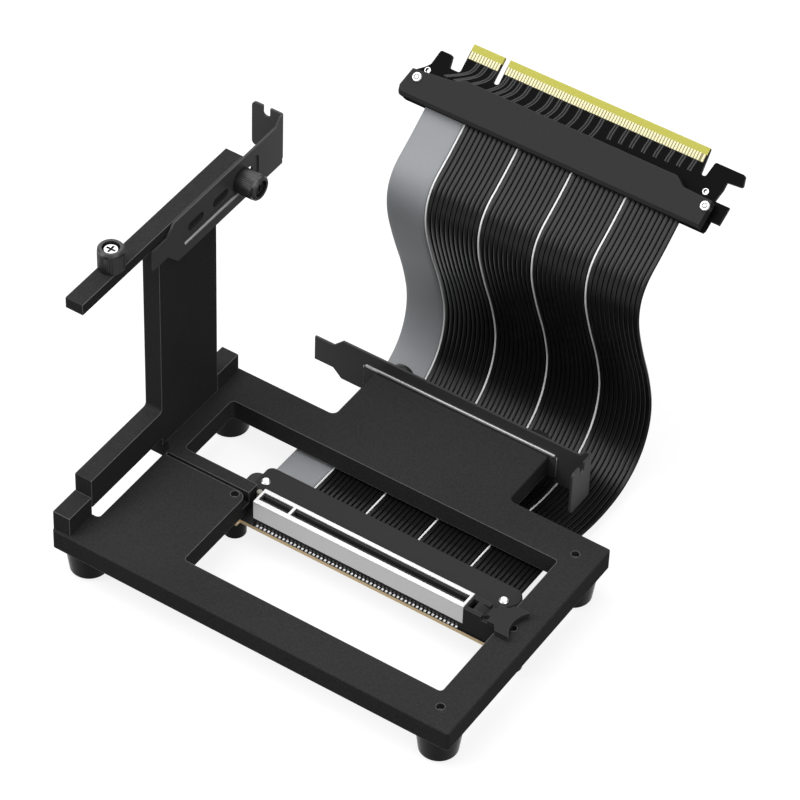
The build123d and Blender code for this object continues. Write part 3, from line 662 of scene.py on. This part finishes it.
def finger_pads(side, coat):
    """The row of gilt pads on one face of the card edge."""
    name = "pads_front" if side > 0 else "pads_back"
    low = BOARD_HALF if side > 0 else -BOARD_HALF - PAD_HIGH
    pad = slab(name, (-PAD_WIDTH / 2, PAD_START, low),
               (PAD_WIDTH / 2, BEVEL_START, low + PAD_HIGH), PAD_EDGE)
    moves = []
    for (left, right), count in zip(BLOCKS, PAD_COUNTS):
        first = left + FIRST_PAD_INSET
        moves += [Vector((first + number * PAD_PITCH, 0, 0)) * MM for number in range(count)]
    moves.append(Vector((LAST_PAD, 0, 0)) * MM)
    pads = repeat(pad, moves)
    to_plug(pads)
    return dress(pads, "mount", "board", coat)


def trace_route(start):
    """One track from its pad down under the cover: straight first, then swept to the left."""
    points = [(start, PAD_START)]
    if start > STRAIGHT_FROM:
        points += [(start - shift, along) for shift, along in STRAIGHT_POINTS]
        end = STRAIGHT_END + (start - STRAIGHT_END_X) * STRAIGHT_END_SLOPE
        return points + [(points[-1][0], end)]
    sweep = SWEEP_MOST * math.exp(-(start - SWEEP_FROM) / SWEEP_FADE)
    return points + [(start - share * sweep, along) for share, along in SWEPT_POINTS]


def board_tracks(side, coat):
    """Raised pairs of copper tracks under the lacquer, between the pads and the cover."""
    tracks = []
    for start in TRACE_STARTS:
        for shift in (-TRACE_GAP / 2, TRACE_GAP / 2):
            bpy.ops.curve.primitive_nurbs_path_add()
            track = bpy.context.object
            spline = track.data.splines[0]
            points = trace_route(start)
            track.data.splines.remove(spline)
            spline = track.data.splines.new("NURBS")
            spline.points.add(len(points) - 1)
            for point, (x, along) in zip(spline.points, points):
                point.co = ((x + shift) * MM, along * MM, 0, 1)
            spline.order_u = 3
            spline.use_endpoint_u = True
            track.data.resolution_u = 4
            track.data.bevel_depth = TRACE_WIDTH / 2 * MM
            track.data.bevel_resolution = 1
            track.data.use_fill_caps = True
            only(track)
            bpy.ops.object.convert(target="MESH")
            tracks.append(bpy.context.object)
    name = "tracks_front" if side > 0 else "tracks_back"
    piece = join(name, tracks)
    flat = 2 * TRACE_HIGH / TRACE_WIDTH
    piece.data.transform(Matrix.Diagonal((1, 1, flat, 1)))
    piece.data.transform(Matrix.Translation((0, 0, side * BOARD_HALF * MM)))
    to_plug(piece)
    return dress(piece, "mount", "board", coat)


def rivet_rims(side, coat, groove_shade):
    """The rolled rim on each rivet's head, round its shallow sunk centre, with painted shade in
    the groove round its raised middle.
    """
    height = COVER_FRONT + RIVET_HEAD if side > 0 else -COVER_BACK + RIVET_HEAD
    rims = []
    for x, along in RIVETS:
        middle = (x * MM, along * MM, (height + RIM_HIGH / 2) * MM)
        bpy.ops.mesh.primitive_cylinder_add(vertices=48, radius=RIM_RADIUS * MM,
                                            depth=RIM_HIGH * MM, location=middle)
        rim = bpy.context.object
        settle(rim)
        apply_bevel(rim, RIM_EDGE * MM, 2)
        only(rim)
        bpy.ops.object.mode_set(mode="EDIT")
        bpy.ops.mesh.select_all(action="DESELECT")
        shape = bmesh.from_edit_mesh(rim.data)
        for face in shape.faces:
            face.select_set(face.normal.z > 0.99)
        bmesh.update_edit_mesh(rim.data)
        bpy.ops.mesh.inset(thickness=RIM_WIDTH * MM)
        sink = (0, 0, -RIVET_GROOVE_DEEP * MM)
        bpy.ops.mesh.extrude_region_move(TRANSFORM_OT_translate={"value": sink})
        bpy.ops.mesh.inset(thickness=RIVET_GROOVE_WIDTH * MM)
        bpy.ops.transform.translate(value=(0, 0, CENTRE_RISE * MM))
        shape = bmesh.from_edit_mesh(rim.data)
        inner, outer = RIVET_GROOVE_REACH
        for face in shape.faces:
            place = face.calc_center_median() / MM
            reach = math.hypot(place.x - x, place.y - along)
            face.material_index = int(inner < reach < outer)
        bmesh.update_edit_mesh(rim.data)
        bpy.ops.object.mode_set(mode="OBJECT")
        rim.data.materials.append(coat)
        rim.data.materials.append(groove_shade)
        rims.append(rim)
    rim = join("rivet_rims_front" if side > 0 else "rivet_rims_back", rims)
    if side < 0:
        rim.data.transform(Matrix.Diagonal((1, 1, -1, 1)))
        rim.data.flip_normals()
    to_plug(rim)
    bpy.ops.object.shade_smooth_by_angle(angle=math.radians(30))
    return dress(rim, "mount", "screw_steel")


def hole_rims(coat):
    """The bright tinned rim round each small hole of the plug's board."""
    rims = []
    for x, along in HOLES:
        bpy.ops.mesh.primitive_torus_add(major_segments=36, minor_segments=8,
                                         major_radius=HOLE_RIM_RADIUS * MM,
                                         minor_radius=HOLE_RIM_HALF * MM)
        rim = bpy.context.object
        rim.scale = (1, 1, HOLE_RIM_FLAT)
        rim.location = (x * MM, along * MM, BOARD_HALF * MM)
        settle(rim)
        rims.append(rim)
    rim = join("hole_rims", rims)
    to_plug(rim)
    rim.data.shade_smooth()
    return dress(rim, "mount", "tin", coat)


def field_beads(coat):
    """The rounded edge of each slot cover's pressed field, a real bead whose light grey is a
    painted highlight.
    """
    for name, node, body, low, high in FIELD_EDGES:
        corner = Vector(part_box(node)[0]) / MM
        low, high = Vector(low), Vector(high)
        edge = BEAD_ROUND * min(high - low)
        bead = slab(name, corner + low, corner + high, edge, BEAD_SEGMENTS)
        bpy.ops.object.shade_smooth()
        dress(bead, body, "cover_sheet", coat)


def cap_knurl(name, coat):
    """Fine ridges round a thumb cap, between its seat and its collar."""
    low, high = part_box("thumb_cap_" + name)
    centre = (Vector(low) + Vector(high)) / 2
    bpy.ops.mesh.primitive_cylinder_add(vertices=2 * KNURL_RIDGES, radius=CAP_RADIUS,
                                        depth=KNURL_LENGTH, end_fill_type="NOTHING")
    knurl = bpy.context.object
    knurl.name = "cap_knurl_" + name
    bpy.ops.object.mode_set(mode="EDIT")
    bpy.ops.mesh.select_all(action="DESELECT")
    shape = bmesh.from_edit_mesh(knurl.data)
    for vertex in shape.verts:
        angle = math.atan2(vertex.co.y, vertex.co.x) * KNURL_RIDGES / math.pi
        vertex.select_set(round(angle) % 2 == 0)
    shape.select_flush(True)
    bmesh.update_edit_mesh(knurl.data)
    swell = 1 + KNURL_HEIGHT / CAP_RADIUS
    bpy.ops.transform.resize(value=(swell, swell, 1))
    bpy.ops.object.mode_set(mode="OBJECT")
    knurl.rotation_euler = CAP_TURNS[name]
    axis = Vector((0, 0, 1))
    axis.rotate(knurl.rotation_euler)
    knurl.location = centre - axis * KNURL_DROP
    settle(knurl)
    only(knurl)
    return dress(knurl, "thumb_" + name, "cap_plastic", coat)


def cables(black, white, groove, wrap):
    """The grey band and the ribbed bundles, all on one route from the riser to the plug."""
    line = route_line()
    frames = line_frames(line)
    nodes = ["cable_shielded_band"] + [f"cable_bundle_{n + 1}" for n in range(BUNDLES)]
    for node in nodes:
        low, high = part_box(node)
        left, right = low[0], high[0]
        if node == "cable_shielded_band":
            section, marks = flat_section(left, right)
            coats = [wrap]
        else:
            section, marks = ribbed_section(left, right)
            coats = [black, white, groove]
        piece = sweep_ribbon(node.replace("cable", "ribbon"), section, frames, marks)
        for coat in coats:
            piece.data.materials.append(coat)
        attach(piece, "mount")
        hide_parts(node)


def cut_sides(material, colour):
    """The pale laminate shows on a circuit board's cut edges."""
    nodes = material.node_tree.nodes
    links = material.node_tree.links
    shape = nodes.new("ShaderNodeNewGeometry")
    split = nodes.new("ShaderNodeSeparateXYZ")
    links.new(shape.outputs["Normal"], split.inputs[0])
    flat = nodes.new("ShaderNodeMath")
    flat.operation = "ABSOLUTE"
    links.new(split.outputs["Z"], flat.inputs[0])
    side = nodes.new("ShaderNodeMath")
    side.operation = "LESS_THAN"
    links.new(flat.outputs[0], side.inputs[0])
    side.inputs[1].default_value = CUT_SIDE
    return blend_colour(material, side.outputs[0], colour)


def above(material, height, colour):
    """Another colour on all that is higher than the given height."""
    nodes = material.node_tree.nodes
    links = material.node_tree.links
    place = nodes.new("ShaderNodeTexCoord")
    split = nodes.new("ShaderNodeSeparateXYZ")
    links.new(place.outputs["Object"], split.inputs[0])
    high = nodes.new("ShaderNodeMath")
    high.operation = "GREATER_THAN"
    links.new(split.outputs["Z"], high.inputs[0])
    high.inputs[1].default_value = height
    return blend_colour(material, high.outputs[0], colour)


# What surfaces of one kind share, as values for finish
CASTING_GRAIN = {"speck": 1700, "spread": 0.9, "rough_spread": 0.5, "bump": 0.6,
                 "depth": 0.06 * MM}
SHEET_GRAIN = {"speck": 1800, "spread": 0.15, "depth": FINE_DEPTH}
METAL_GRAIN = {"speck": 900, "depth": FINE_DEPTH}
SHIELD_GRAIN = {"speck": 300, "spread": 0.05, "rough_spread": 0.08, "bump": 0.05,
                "depth": FINE_DEPTH}
TIN_GRAIN = {"speck": 500, "bump": 0.05}
PLATED_GRAIN = {"speck": 600, "spread": 0.06, "rough_spread": 0.06, "bump": 0.05}
PLASTIC_GRAIN = {"speck": 1200, "spread": 0.15, "bump": 0.12}
LACQUER_GRAIN = {"speck": 600, "spread": 0.15, "rough_spread": 0.08}
TRACK_GRAIN = {"speck": 600, "rough_spread": 0.05, "bump": 0.05}
LAMINATE_GRAIN = {"speck": 1500}
RUBBER_GRAIN = {"speck": 900, "spread": 0.2, "bump": 0.15}
PEG_GRAIN = {"speck": 900}
WRAP_GRAIN = {"speck": 700, "spread": 0.08, "rough_spread": 0.08}
CABLE_GRAIN = {"speck": 800, "spread": 0.15, "bump": 0.08}
CORE_GRAIN = {"speck": 800, "spread": 0.06, "bump": 0.05}


def metals():
    """Screws, the slot's shield, leads, pads and rivets."""
    lead_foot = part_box("slot_contacts")[0][2] + LEAD_THICKNESS
    cross_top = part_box("thumb_core_bar")[1][2] - CROSS_EDGE
    # painted shade: the bar screw's core is near black except for its top face, so its cross
    # reads dark
    core_cross_shade = finish("core_with_painted_cross_shade", grey(0.05), 0.4, metal=0.5, **METAL_GRAIN)
    lead = finish("lead_tin_painted_shade", grey(0.85), 0.3, metal=0.3, **TIN_GRAIN)
    return {
        # painted highlight: the light grey of the pressed fields' rolled edges
        "painted_glint_edge": finish("painted_glint_edge", grey(0.5), 0.3, metal=0.3, **METAL_GRAIN),
        "steel": finish("screw_steel", grey(0.7), 0.3, metal=0.85, **METAL_GRAIN),
        # painted shade: a darkened copy of the screw steel, for thumb screw cores in shadow and
        # the rivets' grooves
        "shaded_steel": finish("steel_painted_shade", grey(0.08), 0.4, metal=0.8, **METAL_GRAIN),
        "core_with_painted_cross_shade": above(core_cross_shade, cross_top, grey(0.75)),
        "shield": finish("shield_steel", grey(0.61), 0.34, metal=0.35, **SHIELD_GRAIN),
        "gilt": finish("gilt_pads", (0.62, 0.59, 0.34), 0.36, metal=0.1, **PLATED_GRAIN),
        "rivet": finish("rivet_nickel", grey(0.88), 0.36, metal=0.2, **PLATED_GRAIN),
        # painted shade: the tin leads are near black above their feet
        "tin": above(lead, lead_foot, grey(0.03)),
        "rim_tin": finish("rim_tin", grey(0.9), 0.3, metal=0.3, **TIN_GRAIN),
    }


def coatings():
    """The black castings and covers, and all that is moulded."""
    casting = finish("casting_coat", grey(0.031), 0.45, specular=0.002, **CASTING_GRAIN)
    plastic = finish("moulded_plastic", grey(0.036), 0.42, specular=0.0, **PLASTIC_GRAIN)
    cap = finish("cap_plastic", grey(0.016), 0.36, specular=0.4, **PLASTIC_GRAIN)
    return {
        # The casting, the moulded plastic and the caps get a painted highlight along their outer
        # edges
        "casting": painted_edge_highlight(casting, grey(0.16)),
        "sheet": finish("cover_coat", grey(0.052), 0.4, specular=0.07, **SHEET_GRAIN),
        "rubber": finish("foot_rubber", grey(0.008), 0.22, specular=0.05, **RUBBER_GRAIN),
        "plastic": painted_edge_highlight(plastic, grey(0.07), 0.3 * MM),
        # painted shade: a darker copy of the moulded plastic for the riser cover's bottom and
        # the plug's back cover
        "plastic_painted_shade": finish("plastic_painted_shade", grey(0.01), 0.42, specular=0.0,
                                **PLASTIC_GRAIN),
        "cap": painted_edge_highlight(cap, grey(0.05), 0.25 * MM),
        "peg": finish("peg_plastic", (0.3, 0.29, 0.24), 0.5, **PEG_GRAIN),
    }


def board_and_cable_finishes():
    """The circuit boards' surfaces and the ribbons' jackets."""
    riser = finish("riser_lacquer", grey(0.01), 0.34, specular=0.2, **LACQUER_GRAIN)
    return {
        "board": finish("board_lacquer", grey(0.003), 0.34, specular=0.02, **LACQUER_GRAIN),
        "riser": cut_sides(riser, (0.8, 0.6, 0.34)),
        "track": finish("lacquered_track", (0.024, 0.024, 0.025), 0.34, specular=0.2,
                        **TRACK_GRAIN),
        "laminate": finish("bare_laminate", (0.47, 0.45, 0.09), 0.5, specular=0.05,
                           **LAMINATE_GRAIN),
        "pad_ground": finish("pad_ground", (0.2, 0.16, 0.07), 0.5, **LAMINATE_GRAIN),
        "wrap": finish("grey_wrap", (0.255, 0.263, 0.275), 0.42, specular=0.2, **WRAP_GRAIN),
        "black_cable": finish("cable_jacket", grey(0.007), 0.3, specular=0.22, **CABLE_GRAIN),
        # painted shade: near black in the grooves between the ribs
        "groove": finish("cable_groove_shade", grey(0.001), 0.7, specular=0.0, **CABLE_GRAIN),
        "white_core": finish("white_core", grey(0.85), 0.5, **CORE_GRAIN),
    }


NODE_FINISH = {
    "casting": ("base_frame", "upright"),
    "sheet": ("upper_slot_cover", "lower_slot_cover"),
    "steel": ("upright_screws", "foot_screws", "riser_screws", "riser_cover_screws"),
    "core_with_painted_cross_shade": ("thumb_core_bar",),
    "rivet": ("plug_rivets",),
    # painted shade: these cores take the darkened copy of the screw steel
    "shaded_steel": ("thumb_core_upper", "thumb_core_lower_left", "thumb_core_lower_right"),
    "shield": ("slot_shield",),
    "rubber": ("foot_front_left", "foot_front_right", "foot_back_left", "foot_back_right",
               "riser_spacers"),
    "plastic": ("slot_housing", "slot_latch", "riser_cover_top", "plug_cover_front"),
    # painted shade: these parts take the darker copy of the moulded plastic
    "plastic_painted_shade": ("riser_cover_bottom", "plug_cover_back"),
    "cap": ("thumb_cap_bar", "thumb_cap_upper", "thumb_cap_lower_left",
            "thumb_cap_lower_right"),
    "board": ("plug_board",),
    "riser": ("riser_board",),
    "tin": ("slot_contacts",),
    "peg": ("locator_peg",),
}


bpy.context.scene.view_settings.view_transform = "Standard"
camera()
coats = {**metals(), **coatings(), **board_and_cable_finishes()}
for coat, nodes in NODE_FINISH.items():
    for node in nodes:
        wear(node, coats[coat])
finger_strips(coats["laminate"])
hole_rims(coats["rim_tin"])
field_beads(coats["painted_glint_edge"])
for side in (1, -1):
    pad_ground(side, coats["pad_ground"])
    finger_pads(side, coats["gilt"])
    board_tracks(side, coats["track"])
    rivet_rims(side, coats["rivet"], coats["shaded_steel"])
for name in CAP_TURNS:
    cap_knurl(name, coats["cap"])
cables(coats["black_cable"], coats["white_core"], coats["groove"], coats["wrap"])
world()
lights()
floor()
